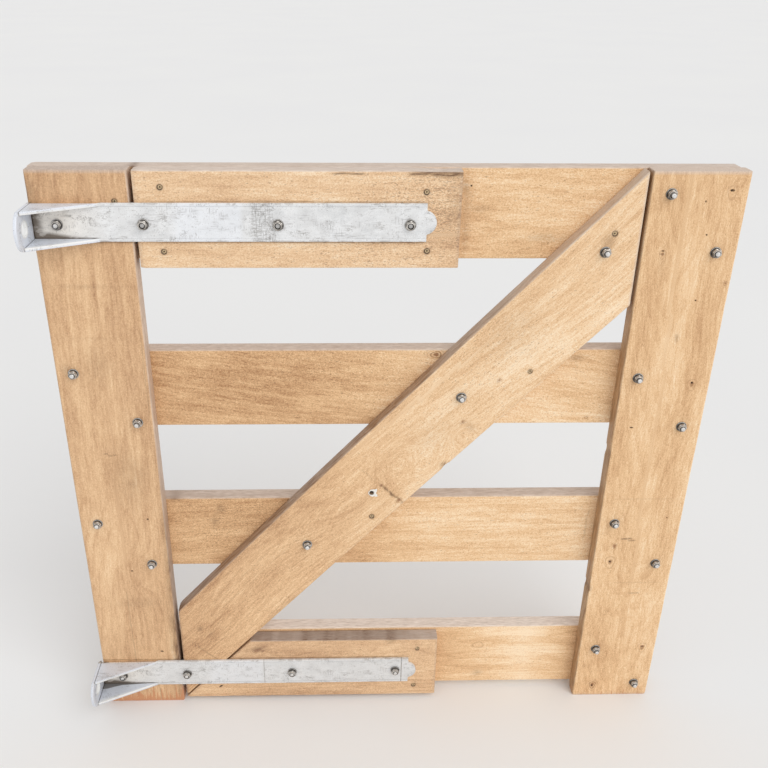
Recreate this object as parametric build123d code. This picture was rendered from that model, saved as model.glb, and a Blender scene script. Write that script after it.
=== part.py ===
from build123d import *
import math
import os

# Leaf of a timber gate with two box ended strap hinges.
# X runs from the hanging edge to the closing edge, Y from front to back, Z up.
# Lengths are millimetres.

# Leaf
leaf_width = 1042.0
leaf_height = 1018.0
board_thick = 27.0
arris = 3.0

# Boards
stile_width = 145.0
rail_height = 140.0
# Sawn boards differ a little in width
odd_rail_heights = {"lower_middle_rail": 144.0, "upper_middle_rail": 137.5}
brace_width = 141.0
# The brace is slightly bent: its middle lies this far above the line between its ends
brace_bow = 3.0
brace_overrun = 0.1
top_packing_height = 146.0
bottom_packing_height = 140.0
top_packing_end = 623.5
bottom_packing_end = 627.0
packing_foot = 8.0

# The bottom rail lies this far above the stiles' feet, and the others follow at even steps,
# apart from two that are fixed a little above their steps
rail_foot = 13.0
rail_strays = {"lower_middle_rail": 2.5, "upper_middle_rail": 1.0}
# The rails run a little past the hanging stile and stop short of the closing one
rail_past_hanging = 3.0
rail_short_closing = 6.0

# Gaps between front boards
hanging_gap = 6.0
closing_gap = 4.5
mitre_gap = 2.0

# Strap hinges
plate_thick = 5.0
bend_outer = 6.0
bend_inner = bend_outer - plate_thick
end_bend = plate_thick - 0.5
strap_width = 57.0
strap_half = strap_width / 2
strap_shoulder = 573.5
nose_half = 17.0
nose_reach = 14.5
notch_radius = 2.5
# The end plates stand this far past the hanging edge
plate_overhangs = {"lower": 7.0, "upper": 1.0}
box_length = 101.0
box_depth = 55.0
eye_hole_radius = 11.0
eye_centre_depth = 40.0
eye_land = 32.0
strap_margin = 75.0
strap_levels = {"lower": strap_margin, "upper": leaf_height - strap_margin}

# The part's origin lies on the outer face of the lower end plate, level with its hole
origin_depth = 12.0
origin_point = Vector(-plate_overhangs["lower"], -origin_depth, strap_levels["lower"])

# Sine and cosine of half a right angle, for the middle of a quarter arc
diagonal = math.sqrt(0.5)

os.makedirs("parts", exist_ok=True)


def save(name, shape):
    export_step(Pos(-origin_point.X, -origin_point.Y, -origin_point.Z) * shape, f"parts/{name}.step")


def board(outline, front, softened):
    """A board cut to closed lines in X and Z, its long edges rounded. front is its front face's Y."""
    solid = Pos(0, front, 0) * extrude(make_face(outline), amount=board_thick, dir=(0, 1, 0))
    edges = [e for e in solid.edges() if softened(e)]
    return fillet(edges, arris)


def along(direction):
    """Picks the edges that run along a direction at their middle."""
    wanted = Vector(*direction).normalized()
    return lambda e: abs((e % 0.5).dot(wanted)) > 0.999


def outline_of(corners):
    return Polyline(*[(x, 0, z) for x, z in corners], close=True)


def rectangle(x0, x1, z0, z1):
    return outline_of([(x0, z0), (x1, z0), (x1, z1), (x0, z1)])


# Stiles stand at both ends, on the front of the leaf
upright = along((0, 0, 1))
level = along((1, 0, 0))
closing_edge = leaf_width - stile_width
save("hanging_stile", board(rectangle(0, stile_width, 0, leaf_height), 0, upright))
save("closing_stile", board(rectangle(closing_edge, leaf_width, 0, leaf_height), 0, upright))

# Rails lie behind the stiles
rail_names = ["bottom_rail", "lower_middle_rail", "upper_middle_rail", "top_rail"]
rail_step = (leaf_height - rail_height - rail_foot) / (len(rail_names) - 1)
rail_left = -rail_past_hanging
rail_right = leaf_width - rail_short_closing
for number, name in enumerate(rail_names):
    foot = rail_foot + number * rail_step + rail_strays.get(name, 0.0)
    top = foot + odd_rail_heights.get(name, rail_height)
    save(name, board(rectangle(rail_left, rail_right, foot, top), board_thick, level))

# Brace, cut upright at both ends. Its lower corner is level with the bottom rail's foot
# and its upper corner is level with the top of the leaf.
brace_left = stile_width + hanging_gap
brace_right = closing_edge - closing_gap
brace_run = brace_right - brace_left
brace_rise = leaf_height - rail_foot
brace_slope = math.acos(brace_width / math.hypot(brace_run, brace_rise)) - math.atan2(brace_run, brace_rise)
brace_end_cut = brace_width / math.cos(brace_slope)
brace_bend = Vector(-math.sin(brace_slope), 0, math.cos(brace_slope)) * brace_bow
foot_corner = Vector(brace_left, 0, rail_foot)
brace_line = Vector(brace_right, 0, leaf_height - brace_end_cut) - foot_corner


def bent(height, share):
    """A point on the brace's long edge that starts this far above its foot, at a share of the way up."""
    bend = brace_bend * (1 - (2 * share - 1) ** 2)
    return foot_corner + Vector(0, 0, height) + brace_line * share + bend


# Its ends are cut upright last, so the edges first run past them
def bent_edge(height):
    return Spline(bent(height, -brace_overrun), bent(height, 0.5), bent(height, 1 + brace_overrun))


under = bent_edge(0)
over = bent_edge(brace_end_cut)
brace_outline = [under, Line(under @ 1, over @ 1), over, Line(over @ 0, under @ 0)]
sloping = along((math.cos(brace_slope), 0, math.sin(brace_slope)))
span = Pos((brace_left + brace_right) / 2, 0, 0) * Box(brace_run, leaf_width, 3 * leaf_height)
save("brace", board(brace_outline, 0, sloping) & span)

# Packing boards fill out the front behind the straps
top_packing = rectangle(brace_left, top_packing_end, leaf_height - top_packing_height, leaf_height)
save("top_packing_board", board(top_packing, 0, level))

# The bottom one is mitred along the underside of the brace, and stops clear of the stile
mitre_shift = mitre_gap / math.sin(brace_slope)


def mitre_x(z):
    return brace_left + mitre_shift + (z - rail_foot) / math.tan(brace_slope)


packing_top = packing_foot + bottom_packing_height
mitre_start = rail_foot - mitre_shift * math.tan(brace_slope)
bottom_packing = [
    (max(brace_left, mitre_x(packing_foot)), packing_foot),
    (bottom_packing_end, packing_foot),
    (bottom_packing_end, packing_top),
    (mitre_x(packing_top), packing_top),
]
if mitre_x(packing_foot) < brace_left:
    bottom_packing.append((brace_left, mitre_start))
save("bottom_packing_board", board(outline_of(bottom_packing), 0, level))


def side_bend():
    """Section of a folded side in Y and Z: the bend's quarter ring and a straight leg."""
    ring_z = strap_half - bend_outer
    outer = ThreePointArc(
        (0, 0, ring_z),
        (0, -bend_outer * (1 - diagonal), ring_z + bend_outer * diagonal),
        (0, -bend_outer, strap_half),
    )
    inner_top = strap_half - plate_thick
    inner = ThreePointArc(
        (0, -bend_outer, inner_top),
        (0, -bend_outer + bend_inner * diagonal, ring_z + bend_inner * diagonal),
        (0, -plate_thick, ring_z),
    )
    return make_face(
        [
            outer,
            Line((0, -bend_outer, strap_half), (0, -box_depth, strap_half)),
            Line((0, -box_depth, strap_half), (0, -box_depth, inner_top)),
            Line((0, -box_depth, inner_top), (0, -bend_outer, inner_top)),
            inner,
            Line((0, -plate_thick, ring_z), (0, 0, ring_z)),
        ]
    )


def box_side(sign, level_z, overhang):
    """Upper or lower side of the box: folded forward, tapering away along the strap."""
    start = -overhang + plate_thick
    side =extrude(Pos(start, 0, 0) * side_bend(), amount=box_length - start, dir=(1, 0, 0))
    taper = make_face(
        Polyline(
            (start, -box_depth, 0),
            (box_length, -plate_thick, 0),
            (box_length, -box_depth, 0),
            close=True,
        )
    )
    side -= extrude(taper, amount=strap_width, dir=(0, 0, 1))
    if sign < 0:
        side = mirror(side, about=Plane.XY)
    return Pos(0, 0, level_z) * side


def end_plate(level_z, overhang):
    """End plate: folded forward from the strap's end, with a round front around the eye bolt's hole."""
    outside = -overhang
    land_front = -eye_centre_depth - math.sqrt(eye_land**2 - strap_half**2)
    outline = make_face(
        [
            Line((outside, 0, -strap_half), (outside, land_front, -strap_half)),
            ThreePointArc(
                (outside, land_front, -strap_half),
                (outside, -eye_centre_depth - eye_land, 0),
                (outside, land_front, strap_half),
            ),
            Line((outside, land_front, strap_half), (outside, 0, strap_half)),
            Line((outside, 0, strap_half), (outside, 0, -strap_half)),
        ]
    )
    plate = extrude(outline, amount=plate_thick, dir=(1, 0, 0))
    back_edge = plate.edges().filter_by(Axis.Z).sort_by(Axis.X)[0]
    plate = fillet(back_edge, end_bend)
    hole = Plane((outside, -eye_centre_depth, 0), z_dir=(1, 0, 0)) * Cylinder(
        eye_hole_radius, plate_thick, align=(Align.CENTER, Align.CENTER, Align.MIN)
    )
    return Pos(0, 0, level_z) * (plate - hole)


def strap(level_z, overhang):
    """Flat bar of the hinge. It narrows between the folded sides and ends in a round nose."""
    web_half = strap_half - bend_outer
    start = -overhang + plate_thick
    tip = strap_shoulder + nose_reach

    def half(sign):
        neck = nose_half + notch_radius
        notch_middle = notch_radius * (1 - diagonal)
        return [
            Line((start, 0, sign * web_half), (box_length, 0, sign * web_half)),
            Line((box_length, 0, sign * web_half), (box_length, 0, sign * strap_half)),
            Line((box_length, 0, sign * strap_half), (strap_shoulder, 0, sign * strap_half)),
            Line((strap_shoulder, 0, sign * strap_half), (strap_shoulder, 0, sign * neck)),
            ThreePointArc(
                (strap_shoulder, 0, sign * neck),
                (strap_shoulder + notch_middle, 0, sign * (nose_half + notch_middle)),
                (strap_shoulder + notch_radius, 0, sign * nose_half),
            ),
        ]

    fold = Line((start, 0, web_half), (start, 0, -web_half))
    nose = ThreePointArc(
        (strap_shoulder + notch_radius, 0, nose_half),
        (tip, 0, 0),
        (strap_shoulder + notch_radius, 0, -nose_half),
    )
    face = make_face([fold, nose] + half(1) + half(-1))
    return Pos(0, 0, level_z) * extrude(face, amount=plate_thick, dir=(0, -1, 0))


for name, level_z in strap_levels.items():
    overhang = plate_overhangs[name]
    save(f"{name}_strap", strap(level_z, overhang))
    save(f"{name}_end_plate", end_plate(level_z, overhang))
    save(f"{name}_hinge_top_side", box_side(1, level_z, overhang))
    save(f"{name}_hinge_bottom_side", box_side(-1, level_z, overhang))
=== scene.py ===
# %% [markdown]
# # A timber gate leaf with two folded strap hinges
#
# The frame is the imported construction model. This script gives each board its grain, knots, pores
# and worn edges, folds the hinge plates with soft bends, and adds the nuts, washers, bolt heads and
# screws. Lengths are metres, apart from tape readings and metal parts, which are in millimetres.

import math

import bmesh
import bpy
import numpy as np
from mathutils import Matrix, Vector


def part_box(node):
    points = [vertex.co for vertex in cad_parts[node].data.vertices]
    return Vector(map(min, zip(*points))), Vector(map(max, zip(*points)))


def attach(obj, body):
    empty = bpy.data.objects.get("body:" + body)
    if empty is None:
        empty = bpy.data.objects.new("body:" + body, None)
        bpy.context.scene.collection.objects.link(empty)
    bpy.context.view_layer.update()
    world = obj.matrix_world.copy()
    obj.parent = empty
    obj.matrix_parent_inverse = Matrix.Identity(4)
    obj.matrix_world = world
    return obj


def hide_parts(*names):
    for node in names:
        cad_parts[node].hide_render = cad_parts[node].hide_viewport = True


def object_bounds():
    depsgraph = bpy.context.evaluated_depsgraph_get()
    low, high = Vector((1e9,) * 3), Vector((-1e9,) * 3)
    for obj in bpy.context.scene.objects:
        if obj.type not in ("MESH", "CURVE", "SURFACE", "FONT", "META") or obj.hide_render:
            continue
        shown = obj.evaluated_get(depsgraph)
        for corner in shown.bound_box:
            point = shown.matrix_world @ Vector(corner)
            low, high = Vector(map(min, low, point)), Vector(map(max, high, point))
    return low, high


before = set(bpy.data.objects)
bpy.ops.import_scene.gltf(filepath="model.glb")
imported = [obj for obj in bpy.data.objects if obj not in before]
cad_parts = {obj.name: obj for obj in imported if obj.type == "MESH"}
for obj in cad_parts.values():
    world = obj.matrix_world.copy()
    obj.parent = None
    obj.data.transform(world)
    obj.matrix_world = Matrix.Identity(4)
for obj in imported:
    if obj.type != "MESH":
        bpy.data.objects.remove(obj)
cad_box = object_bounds()
foot = np.array(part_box("hanging_stile")[0])
print("frame holds", len(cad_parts), "nodes, box", [list(map(float, c)) for c in cad_box])

# %% [markdown]
# ## Places on the leaf
#
# Marks on a real gate are read off with a tape from one corner. The corner used here is the foot
# of the hanging edge, on the front face: x runs to the closing edge, y to the back and z up, all
# in millimetres. One function turns such a reading into the frame's metres.


# %% Tape readings to frame
def from_tape(x_mm, y_mm, z_mm):
    """Frame point of a tape reading: the corner's own place plus the reading in metres."""
    return foot + np.array([x_mm, y_mm, z_mm], float) / 1000


print("corner of the tape", foot.round(4))

# %% [markdown]
# ## Random but repeatable
#
# Natural wear needs fields that vary smoothly. Value noise gives each whole-number corner of a
# lattice a hashed value and blends between the corners. It is the same at each run, because the
# hash depends only on the corner and a seed.


# %% Noise worked out with whole arrays
def hashed(cells, seed):
    """A value from -1 to 1 for each lattice corner: its numbers are multiplied and mixed."""
    n = np.full(cells[0].shape, np.uint64(seed * 7919 + 17), np.uint64)
    for cell, prime in zip(cells, (73856093, 19349663, 83492791)):
        n = n * np.uint64(6364136223846793005) + cell.astype(np.int64).astype(np.uint64) * np.uint64(prime)
        n ^= n >> np.uint64(29)
    n = n * np.uint64(1442695040888963407)
    n ^= n >> np.uint64(32)
    return (n & np.uint64(0xFFFFFF)).astype(float) / 0x7FFFFF - 1


def noise(seed, *coords):
    """Smooth field: corner values blended by 3t^2 - 2t^3, where t is the share across the cell."""
    coords = np.broadcast_arrays(*coords)
    low = [np.floor(c) for c in coords]
    share = [c - f for c, f in zip(coords, low)]
    share = [t * t * (3 - 2 * t) for t in share]
    total = np.zeros(coords[0].shape)
    for corner in np.ndindex(*(2,) * len(coords)):
        weight = np.ones(coords[0].shape)
        for t, c in zip(share, corner):
            weight = weight * (t if c else 1 - t)
        total += weight * hashed([f + c for f, c in zip(low, corner)], seed)
    return total


def layered(seed, *coords, octaves=3):
    """Several noises added, each twice as fine and half as strong as the one before."""
    return sum(noise(seed + k, *[c * 2**k for c in coords]) / 2**k for k in range(octaves)) / 1.75


def bell(distance, width):
    """Falls from 1 to 0 like a bell: e to the minus square of distance over width."""
    return np.exp(-((distance / width) ** 2))


def ramp(value, low, high):
    """0 below low, 1 above high, and 3t^2 - 2t^3 between them."""
    t = np.clip((value - low) / (high - low), 0, 1)
    return t * t * (3 - 2 * t)


print("noise sample", noise(3, np.array([0.2, 1.7]), np.array([0.4, 2.9])).round(3))

# %% [markdown]
# ## From arrays to a mesh
#
# Every surface below ends as an array of points and an array of faces. Short functions weld points
# that share a place and turn faces outwards. One more puts them into a mesh that rides on the leaf.
# Edges sharper than a given angle stay crisp, and the rest are shaded smooth.


# %% Mesh helpers
def weld(points, faces, grain=1e-7):
    """Points closer than the grain become one: places are rounded to whole grains and compared."""
    keys = np.round(points / grain).astype(np.int64)
    _, first, which = np.unique(keys, axis=0, return_index=True, return_inverse=True)
    return first, which.reshape(-1)[faces]


def outwards(points, faces):
    """Flips all faces if the solid's volume, the sum of corner products over six, is negative."""
    a, b, *more = (points[corner] for corner in faces.T)
    volume = 0
    for c in more:
        volume += np.einsum("ij,ij->i", a, np.cross(b, c)).sum()
        b = c
    return faces[:, ::-1] if volume < 0 else faces


def make_piece(name, points, faces, crease, stands_for=()):
    """Builds the mesh, drops faces that have shrunk to a line, and sets which edges stay sharp."""
    mesh = bpy.data.meshes.new(name)
    width = faces.shape[1]
    corners = (faces != np.roll(faces, -1, axis=1)).sum(axis=1)
    polygons = faces[corners == width].tolist()
    for face in faces[(corners < width) & (corners >= 3)].tolist():
        polygons.append(list(dict.fromkeys(face)))
    mesh.from_pydata(points.tolist(), [], polygons)
    mesh.validate()
    mesh.polygons.foreach_set("use_smooth", np.ones(len(mesh.polygons), bool))
    mesh.set_sharp_from_angle(angle=math.radians(crease))
    mesh.update()
    piece = bpy.data.objects.new(name, mesh)
    bpy.context.scene.collection.objects.link(piece)
    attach(piece, "root")
    if stands_for:
        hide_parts(*stands_for)
    return piece


def store(piece, **fields):
    """Keeps one number, or one vector, for each point of the mesh, for its material to read."""
    for name, values in fields.items():
        vector = values.ndim == 2
        attribute = piece.data.attributes.new(name, "FLOAT_VECTOR" if vector else "FLOAT", "POINT")
        attribute.data.foreach_set("vector" if vector else "value", values.astype(np.float32).ravel())


def grid_faces(rows, columns, close_rows=False, close_columns=False):
    """Quads of a grid of points. A closed direction joins its last line to its first."""
    i = np.arange(rows if close_rows else rows - 1)
    j = np.arange(columns if close_columns else columns - 1)
    i, j = (g.ravel() for g in np.meshgrid(i, j, indexing="ij"))
    i2, j2 = (i + 1) % rows, (j + 1) % columns
    return np.stack([i * columns + j, i2 * columns + j, i2 * columns + j2, i * columns + j2], axis=1)


print("faces of a grid of 4 by 3 points", len(grid_faces(4, 3)))


# %% [markdown]
# ## One sawn board
#
# A planed board is a box whose long edges have been eased with a router and whose ends are nearly
# square. The quick way is a cube with a bevel, but its big flat faces have too few points for
# dents, screw recesses and flowing grain. So a board here is a gridded shell. Its places along,
# across and through the wood are kept as they are worked on, so that the same three numbers
# also drive the grain.

# %% Rows and columns of a board
EASED = 0.003
END_EASED = 0.0008
EVEN_STEP = 0.006
CLOSE = 0.0011
# How many rows are set on each side of a mark, and how far apart
DETAIL = {kind: (5, CLOSE) for kind in ("hole", "slot", "crack")}
DETAIL.update(screw=(6, CLOSE), knot=(5, CLOSE * 1.3), line=(3, CLOSE), socket=(6, CLOSE * 2))


def stations(length, spots=(), edge=EASED):
    """Even steps, close rows at both edges, and whole close steps round each (place, count, step)."""
    edge_rows = edge * np.array([0, 1 / 3, 2 / 3, 1])
    special = [edge_rows, length - edge_rows]
    for spot, count, close in spots:
        around = spot + close * np.arange(-count, count + 1)
        special.append(np.round(around / CLOSE) * CLOSE)
    special = np.unique(np.round(np.clip(np.concatenate(special), 0, length), 6))
    even = np.linspace(0, length, int(length / EVEN_STEP) + 1)
    near = np.abs(even[:, None] - special[None, :]).min(axis=1)
    rows = np.sort(np.concatenate([special, even[near > CLOSE]]))
    keep = np.concatenate([[True], np.diff(rows) > CLOSE * 0.45])
    keep[-1] = True
    return rows[keep]


def shell(*rows):
    """The six gridded faces of a box, welded: points (along, across, through) and quads."""
    points, faces, count = [], [], 0
    for axis in range(3):
        i, j = (axis + 1) % 3, (axis + 2) % 3
        for end in (0, -1):
            grid = np.zeros((len(rows[i]), len(rows[j]), 3))
            grid[..., i] = rows[i][:, None]
            grid[..., j] = rows[j][None, :]
            grid[..., axis] = rows[axis][end]
            quads = grid_faces(*grid.shape[:2])
            faces.append((quads if end else quads[:, ::-1]) + count)
            points.append(grid.reshape(-1, 3))
            count += len(points[-1])
    points = np.concatenate(points)
    first, faces = weld(points, np.concatenate(faces))
    return points[first], faces


def ease(across, through, width, thick):
    """Rounds the section's corners: in each corner square, rings of the square become circles."""
    inner_a = np.clip(across, EASED, width - EASED)
    inner_d = np.clip(through, EASED, thick - EASED)
    da, dd = across - inner_a, through - inner_d
    larger = np.maximum(np.abs(da), np.abs(dd))
    scale = larger / np.maximum(np.hypot(da, dd), 1e-12)
    return inner_a + da * scale, inner_d + dd * scale


print("rows along a metre without marks", len(stations(1.0)))


# %% [markdown]
# ## Where the tree's heart was
#
# Grain is what a saw leaves of the yearly rings round a tree's heart. If the heart lies close
# behind a board and drifts away along it, its rings show as pointed arches. If it lies far off to
# one side, they show as straight lines. So each board states where the heart was, and every
# point keeps three numbers: how far along the trunk it is, how far from the heart, and how far
# round it. A knot pushes the rings aside, as a branch does.


# %% Trunk coordinates
MIDDLE = 0.0135  # half a board's thickness


def trunk_places(wood, s, a, d, marks):
    """(along, radius, round): radius is the distance to a heart line that leans and wanders.
    The seed moves each board to a stretch of trunk that no other board has."""
    seed, skew = wood["seed"], wood["skew"]
    s = s + skew * a
    heart_a = wood["heart"][0] + wood["lean"] * s + wood["wander"] * noise(seed, s / 0.21, s * 0)
    heart_d = wood["heart"][1] + wood["drift"] * s + wood["wander"] * noise(seed + 1, s / 0.33, s * 0)
    da, dd = a - heart_a, d - heart_d
    radius = np.hypot(da, dd) + 0.0016 * layered(seed + 2, s / 0.12, a / 0.05, d / 0.05)
    for mark in marks:
        if mark["kind"] == "swirl":
            along = s - mark["s"] - skew * mark["a"]
            away = np.hypot(along / mark.get("long", 2.0), a - mark["a"])
            radius = radius + mark["push"] * bell(away, mark["size"])
    turn = np.arctan2(da, dd) * np.abs(wood["heart"][1] - MIDDLE)
    return np.stack([s + seed * 1.7, radius + seed * 0.31, turn + seed * 0.13], axis=1)


# %% [markdown]
# ## Marks and wear
#
# Screws pull down into small cones. Knots have a dark eye with rings round it. Boards are never
# quite flat after planing, so the faces move in by a fraction of a millimetre, and nothing ever
# moves out: the board stays inside its true size. How dirty, knotty or bleached a point is goes
# into numbers of its own, which the material mixes. Holes, slots and screw cones get a number
# that paints them dark as shade, and the dirt number also carries painted shadow lines.


# %% Rows for the marks
def board_rows(length, width, thick, wood, marks):
    """Rows along, across and through: close ones at the marks, and more along where a board is cut
    on the slope, since there a mark's far side lies further along."""
    near_s, near_a = [], []
    for mark in marks:
        kind = mark["kind"]
        if kind in DETAIL:
            count, close = DETAIL[kind]
            reach = wood["skew"] * (mark["across"] / close if kind == "crack" else count)
            if kind != "line":
                near_s.append((mark["s"], count + int(reach), close))
            if kind != "crack":
                near_a.append((mark["a"], count, close))
    return stations(length, near_s, END_EASED), stations(width, near_a), stations(thick)


# %% Press a mark into a board
SINK = {"socket": 0.0038, "screw": 0.0026, "hole": 0.003, "slot": 0.0025, "knot": 0.0006}


def press(mark, wood, at, wear):
    """Adds one mark to how far points are pushed in and to their wear numbers, in its kind's own way."""
    s, a, d, flat_s, flat_a, low_a, high_a, front, back = at
    kind, reach, dark = mark["kind"], mark["size"], mark.get("dark")
    seed, across = wood["seed"], mark.get("across", reach)
    along, sideways = flat_s - mark["s"] - wood["skew"] * mark["a"], flat_a - mark["a"]
    away, angle = np.hypot(along, sideways), np.arctan2(sideways, along)
    spread = bell(np.hypot(along / reach, sideways / across), 1)
    if kind == "socket":
        wear["push"] += SINK[kind] * ramp(reach - away, 0, 0.0012) * back
    elif kind == "tint":
        wear["tint"] += dark * spread
    elif kind == "flecks":
        wear["fleck"] += dark * spread
    elif kind == "smudge":
        ragged = 1 + 0.5 * layered(seed + 9, s / 0.02, a / 0.02)
        wear["grime_and_shade"] += dark * spread * ragged * (front + low_a + high_a + back)
    elif kind in ("crack", "line"):
        far, short, thin = along / reach, sideways, across
        if kind == "crack":
            far, short, thin = sideways / across, along, reach
        wiggle = mark.get("bend", 0.0007) * layered(seed + 13, 4 * far, 0 * far)
        # Cracks and lines are dark marks; some of them are painted shadow lines along the straps.
        wear["grime_and_shade"] += dark * bell(short - wiggle, thin) * ramp(1.2 - np.abs(far), 0, 0.4) * front
    elif kind == "screw":
        wear["push"] += SINK[kind] * np.clip((reach - away) / (reach * 0.42), 0, 1) * front
        # The dark ring in the cone, darker on one side, is painted shade.
        ring = bell(away - 0.85 * reach, reach * 0.3) * (0.9 - 0.35 * np.cos(angle - 0.8))
        wear["hole"] = np.maximum(wear["hole"], ring * front)
        wear["grime_and_shade"] += 0.25 * bell(away, reach * 1.5) * front
    elif kind == "hole":
        wear["push"] += SINK[kind] * ramp(reach - away, 0, reach * 0.6) * front
        # The hole is painted dark as shade.
        wear["hole"] = np.maximum(wear["hole"], ramp(reach - away, -reach * 0.2, reach * 0.3) * front)
    elif kind == "slot":
        cut = ramp(1 - np.hypot(sideways / reach, along / (reach * 0.42)), 0, 0.4) * front
        wear["push"] += SINK[kind] * cut
        # The slot is painted dark as shade.
        wear["hole"] = np.maximum(wear["hole"], cut)
    elif kind == "knot":
        stretch = np.hypot(along / 1.5, sideways) * (1 + 0.12 * np.sin(3 * angle + seed))
        wear["knot"] = np.maximum(wear["knot"], bell(stretch, reach) * dark * (front + back))
        wear["push"] += SINK[kind] * bell(stretch, reach * 0.45) * front
    elif kind == "dish":
        wear["push"] += mark["depth"] * bell(away, reach) * front
    elif kind == "bite":
        ragged = 1 + 0.4 * noise(seed + 11, s / 0.006, d / 0.01)
        wear["push"] += mark["depth"] * bell(along, reach) * (low_a if mark["side"] < 0 else high_a) * ragged


# %% Weathered edges and ends
def weather(wood, s, length, low_a, high_a):
    """How grey and how brown a point is: the most that either long edge or either end gives it."""
    long_sides = [np.minimum(1.6 * side, 1) for side in (low_a, high_a)]
    ends = [ramp(0.0015 - x, 0, 0.001) for x in (s, length - s)]
    sides = np.stack(long_sides + ends)
    return ((sides * np.array(wood[n])[:, None]).max(axis=0) for n in ("bleached", "browned"))


# %% Board surface
WAVE = 0.00018  # how far a face waves to either side of its mean
NICK = 0.0011  # how deep nicks go into the eased edges


def board_points(size, wood, marks):
    """Grid of a board with eased edges, hollowed marks and slight waves, and its wear numbers."""
    length, width, thick = size
    seed = wood["seed"]
    grid, faces = shell(*board_rows(length, width, thick, wood, marks))
    s, a, d = grid.T
    a, d = ease(a, d, width, thick)
    from_end = np.clip(np.minimum(s, length - s), 0, END_EASED)
    inset = END_EASED - np.sqrt(END_EASED**2 - (END_EASED - from_end) ** 2)
    a = width / 2 + (a - width / 2) * (1 - 2 * inset / width)
    d = thick / 2 + (d - thick / 2) * (1 - 2 * inset / thick)

    low_a, high_a, front, back = (np.clip(1 - x / EASED, 0, 1) for x in (a, width - a, d, thick - d))
    edge = (low_a + high_a) * (front + back)
    push = WAVE * (1 + noise(seed + 5, s / 0.16, a / 0.045, d / 0.05))
    push += NICK * ramp(layered(seed + 6, s / 0.018, a / 0.02, d / 0.02), 0.34, 0.75) * edge
    wear = {"push": push, **{n: np.zeros(len(s)) for n in ("knot", "grime_and_shade", "hole", "fleck", "tint")}}
    at = (s, a, d, s + wood["skew"] * a, a, low_a, high_a, front, back)
    for mark in marks:
        press(mark, wood, at, wear)
    a = a + wear["push"] * (low_a - high_a)
    d = d + wear["push"] * (front - back)

    bleached, browned = weather(wood, s, length, low_a, high_a)
    skin = {
        "knot": np.clip(wear["knot"], 0, 1),
        "grime_and_shade": np.clip(wear["grime_and_shade"], 0, 1.2),
        "hole": np.clip(wear["hole"], 0, 1),
        "fleck": wood["fleck"] + wear["fleck"],
        # Eased edges are painted lighter: a painted highlight.
        "tint": wear["tint"] + 0.35 * edge,
        "bleached": np.maximum(bleached, wood["ashen"]),
        "browned": browned * (1 - wood["cleaner"] * ramp(s / length, 0.5, 0.9)),
    }
    return s, a, d, faces, skin


# %% [markdown]
# ## Placing a board
#
# Straight boards only swap axes. The brace is a strip that has been cut upright at both ends and
# is slightly bent. The lower packing board is mitred under it. For those two, a point's
# place along is slid with its height before the board is laid on the leaf.


# %% From board places to the frame
BRACE_WIDTH = 0.141
BRACE_BOW = 0.003
MITRE_GAP = 0.002
STILES = ("hanging_stile", "closing_stile")
brace_low, brace_high = (np.array(c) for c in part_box("brace"))
brace_run, _, brace_rise = brace_high - brace_low
brace_slope = math.acos(BRACE_WIDTH / math.hypot(brace_run, brace_rise)) - math.atan2(brace_run, brace_rise)
brace_length = brace_run / math.cos(brace_slope)
sine, cosine, tangent = math.sin(brace_slope), math.cos(brace_slope), math.tan(brace_slope)
print("brace slope in degrees", round(math.degrees(brace_slope), 2))


def bow(s):
    """How far the brace is bent up at a place along it: its bow times 1 - (2t - 1)^2."""
    return BRACE_BOW * (1 - (2 * s / brace_length - 1) ** 2)


def mitre_start(low, across):
    """Where the mitred end begins at a height: on a line under the brace, not past the board."""
    line = brace_low[0] + MITRE_GAP / sine + (low[2] + across - brace_low[2]) / tangent
    return np.maximum(line, brace_low[0]) - low[0]


def lay(node, s, a, d):
    """Frame points of a board's places. Stiles run up and rails run level, the brace follows its
    slope and the lower packing board is squeezed to start on the mitre."""
    low, high = (np.array(c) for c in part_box(node))
    if node in STILES:
        return np.stack([low[0] + a, low[1] + d, low[2] + s], axis=1)
    if node == "brace":
        along, up = s + a * tangent, a + bow(s)
        x = np.clip(low[0] + along * cosine - up * sine, low[0], high[0])
        return np.stack([x, low[1] + d, low[2] + along * sine + up * cosine], axis=1)
    if node == "bottom_packing_board":
        start, length = mitre_start(low, a), high[0] - low[0]
        s = start + s * (length - start) / length
    return np.stack([low[0] + s, low[1] + d, low[2] + a], axis=1)


def unlay(node, x_mm, z_mm):
    """Place along and across a board of a tape reading on its face, the inverse of the laying."""
    low, high = (np.array(c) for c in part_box(node))
    x, _, z = from_tape(x_mm, 0, z_mm) - low
    if node in STILES:
        return z, x
    if node == "brace":
        a = -x * sine + z * cosine
        along = x * cosine + z * sine
        a -= bow(along - a * tangent)
        return along - a * tangent, a
    if node == "bottom_packing_board":
        start, length = float(mitre_start(low, z)), high[0] - low[0]
        x = (x - start) * length / (length - start)
    return x, z
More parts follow.
